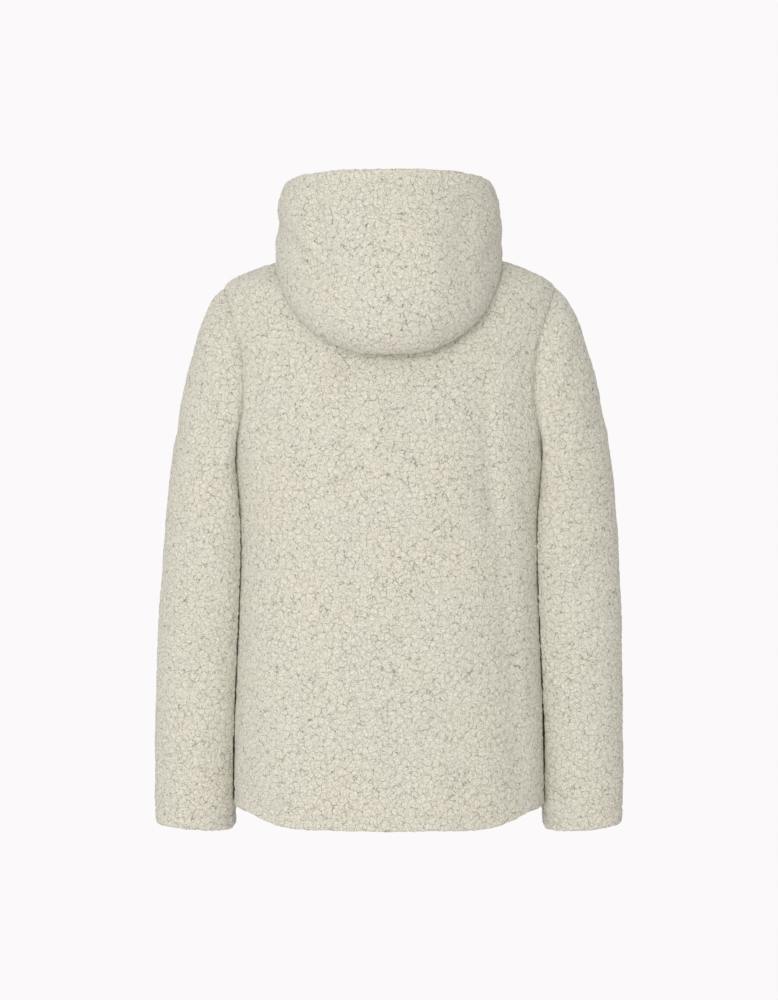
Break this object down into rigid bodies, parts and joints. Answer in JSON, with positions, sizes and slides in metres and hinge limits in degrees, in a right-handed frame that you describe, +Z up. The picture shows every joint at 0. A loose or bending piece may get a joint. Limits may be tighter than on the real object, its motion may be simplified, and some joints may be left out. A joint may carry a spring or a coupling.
{
  "type": "wool hoodie",
  "caption": "Hollow hooded pullover of thick curled cream wool cloth, filled out as worn, hood lying down on the back.",
  "frame": {"origin": "the middle of the neck's base, level with the shoulders by the neck, where the wearer's shoulders carry the garment", "axes": "+Z up along the body, +Y out of the wearer's chest (the back and the hood face -Y), +X out of the wearer's right sleeve"},
  "size_m": [0.5678, 0.283, 0.7867],
  "materials": {
    "wool": "matt curled wool pile"
  },
  "bodies": {
    "root": {"back": "wool", "front": "wool", "sleeve_left": "wool", "sleeve_right": "wool", "hood_side_left": "wool", "hood_side_right": "wool", "hood_centre": "wool"}
  },
  "joints": []
}
